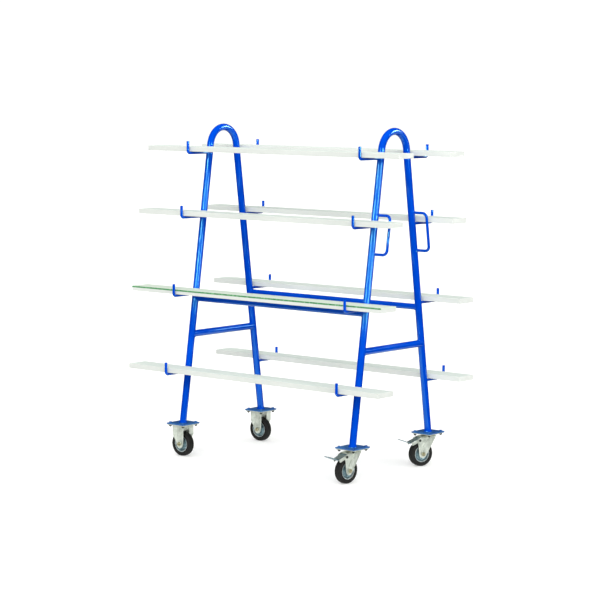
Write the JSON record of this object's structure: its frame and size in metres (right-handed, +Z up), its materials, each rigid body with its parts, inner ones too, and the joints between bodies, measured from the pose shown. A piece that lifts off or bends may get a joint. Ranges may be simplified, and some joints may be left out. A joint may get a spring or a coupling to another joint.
{
  "type": "sheet goods cart",
  "caption": "Two-sided cart for boards and sheet goods: hoop end frames on castors, with rows of bar arms carrying long boards, push handles and braked swivel castors.",
  "frame": {"origin": "on the floor under the middle of the cart's outer box", "axes": "+Z up, X along the cart with the swivel castors and handles at +X, -Y the front"},
  "size_m": [1.654, 0.9124, 1.6879],
  "materials": {
    "blue_powder_coat": "glossy powder coat",
    "zinc_plate": "bright zinc plate",
    "rim_steel": "pressed steel",
    "black_rubber": "matt rubber",
    "white_board": "white coated board",
    "green_glass": "clear glass with green edge"
  },
  "bodies": {
    "frame": {"left_hoop_frame": "blue_powder_coat", "left_tie_bar": "blue_powder_coat", "left_front_arm_1": "blue_powder_coat", "left_front_arm_2": "blue_powder_coat", "left_front_arm_3": "blue_powder_coat", "left_front_arm_4": "blue_powder_coat", "left_front_foot_plate": "blue_powder_coat", "left_rear_arm_1": "blue_powder_coat", "left_rear_arm_2": "blue_powder_coat", "left_rear_arm_3": "blue_powder_coat", "left_rear_arm_4": "blue_powder_coat", "left_rear_foot_plate": "blue_powder_coat", "right_hoop_frame": "blue_powder_coat", "right_tie_bar": "blue_powder_coat", "right_front_arm_1": "blue_powder_coat", "right_front_arm_2": "blue_powder_coat", "right_front_arm_3": "blue_powder_coat", "right_front_arm_4": "blue_powder_coat", "right_front_foot_plate": "blue_powder_coat", "right_rear_arm_1": "blue_powder_coat", "right_rear_arm_2": "blue_powder_coat", "right_rear_arm_3": "blue_powder_coat", "right_rear_arm_4": "blue_powder_coat", "right_rear_foot_plate": "blue_powder_coat", "front_long_rail": "blue_powder_coat", "front_push_handle": "blue_powder_coat", "rear_long_rail": "blue_powder_coat", "rear_push_handle": "blue_powder_coat", "left_front_fixed_fork": "zinc_plate", "left_front_axle_bolt": "zinc_plate", "right_front_swivel_plate": "zinc_plate", "left_rear_fixed_fork": "zinc_plate", "left_rear_axle_bolt": "zinc_plate", "right_rear_swivel_plate": "zinc_plate"},
    "left_front_wheel": {"left_front_wheel_rim": "rim_steel", "left_front_tyre": "black_rubber"},
    "left_rear_wheel": {"left_rear_wheel_rim": "rim_steel", "left_rear_tyre": "black_rubber"},
    "right_front_swivel": {"right_front_swivel_fork": "zinc_plate", "right_front_axle_bolt": "zinc_plate", "right_front_brake_pin": "zinc_plate"},
    "right_front_brake": {"right_front_brake_pedal": "zinc_plate"},
    "right_front_wheel": {"right_front_wheel_rim": "rim_steel", "right_front_tyre": "black_rubber"},
    "right_rear_swivel": {"right_rear_swivel_fork": "zinc_plate", "right_rear_axle_bolt": "zinc_plate", "right_rear_brake_pin": "zinc_plate"},
    "right_rear_brake": {"right_rear_brake_pedal": "zinc_plate"},
    "right_rear_wheel": {"right_rear_wheel_rim": "rim_steel", "right_rear_tyre": "black_rubber"},
    "front_board_1": {"front_board_1": "white_board"},
    "front_board_2": {"front_board_2": "white_board"},
    "front_board_3": {"front_board_3": "white_board"},
    "front_board_4": {"front_board_4": "white_board"},
    "rear_board_1": {"rear_board_1": "white_board"},
    "rear_board_2": {"rear_board_2": "white_board"},
    "rear_board_3": {"rear_board_3": "white_board"},
    "rear_board_4": {"rear_board_4": "white_board"},
    "glass_strip": {"glass_strip": "green_glass"}
  },
  "joints": [
    {"name": "left_front_wheel_spin", "type": "hinge", "parent": "frame", "child": "left_front_wheel", "pos_m": [-0.51, -0.28872, 0.0625], "axis": [0, 1, 0], "continuous": true},
    {"name": "left_rear_wheel_spin", "type": "hinge", "parent": "frame", "child": "left_rear_wheel", "pos_m": [-0.51, 0.32128, 0.0625], "axis": [0, 1, 0], "continuous": true},
    {"name": "right_front_swivel_turn", "type": "hinge", "parent": "frame", "child": "right_front_swivel", "pos_m": [0.59, -0.28872, 0.15], "axis": [0, 0, 1], "continuous": true},
    {"name": "right_front_wheel_spin", "type": "hinge", "parent": "right_front_swivel", "child": "right_front_wheel", "pos_m": [0.58476, -0.3314, 0.0625], "axis": [0.9925, -0.1219, 0], "continuous": true},
    {"name": "right_front_brake_press", "type": "hinge", "parent": "right_front_swivel", "child": "right_front_brake", "pos_m": [0.58232, -0.35125, 0.1322], "axis": [0.9925, -0.1219, 0], "range_deg": [0, 7]},
    {"name": "right_rear_swivel_turn", "type": "hinge", "parent": "frame", "child": "right_rear_swivel", "pos_m": [0.59, 0.32128, 0.15], "axis": [0, 0, 1], "continuous": true},
    {"name": "right_rear_wheel_spin", "type": "hinge", "parent": "right_rear_swivel", "child": "right_rear_wheel", "pos_m": [0.57459, 0.28113, 0.0625], "axis": [0.9336, -0.3584, 0], "continuous": true},
    {"name": "right_rear_brake_press", "type": "hinge", "parent": "right_rear_swivel", "child": "right_rear_brake", "pos_m": [0.56742, 0.26246, 0.1322], "axis": [0.9336, -0.3584, 0], "range_deg": [0, 7]},
    {"name": "front_board_1_lift", "type": "slide", "parent": "frame", "child": "front_board_1", "axis": [0, 0, 1], "range_m": [0, 0.06]},
    {"name": "front_board_2_lift", "type": "slide", "parent": "frame", "child": "front_board_2", "axis": [0, 0, 1], "range_m": [0, 0.06]},
    {"name": "front_board_3_lift", "type": "slide", "parent": "frame", "child": "front_board_3", "axis": [0, 0, 1], "range_m": [0, 0.06]},
    {"name": "front_board_4_lift", "type": "slide", "parent": "frame", "child": "front_board_4", "axis": [0, 0, 1], "range_m": [0, 0.06]},
    {"name": "rear_board_1_lift", "type": "slide", "parent": "frame", "child": "rear_board_1", "axis": [0, 0, 1], "range_m": [0, 0.06]},
    {"name": "rear_board_2_lift", "type": "slide", "parent": "frame", "child": "rear_board_2", "axis": [0, 0, 1], "range_m": [0, 0.06]},
    {"name": "rear_board_3_lift", "type": "slide", "parent": "frame", "child": "rear_board_3", "axis": [0, 0, 1], "range_m": [0, 0.06]},
    {"name": "rear_board_4_lift", "type": "slide", "parent": "frame", "child": "rear_board_4", "axis": [0, 0, 1], "range_m": [0, 0.06]},
    {"name": "glass_strip_lift", "type": "slide", "parent": "front_board_2", "child": "glass_strip", "axis": [0, 0, 1], "range_m": [0, 0.06]}
  ]
}
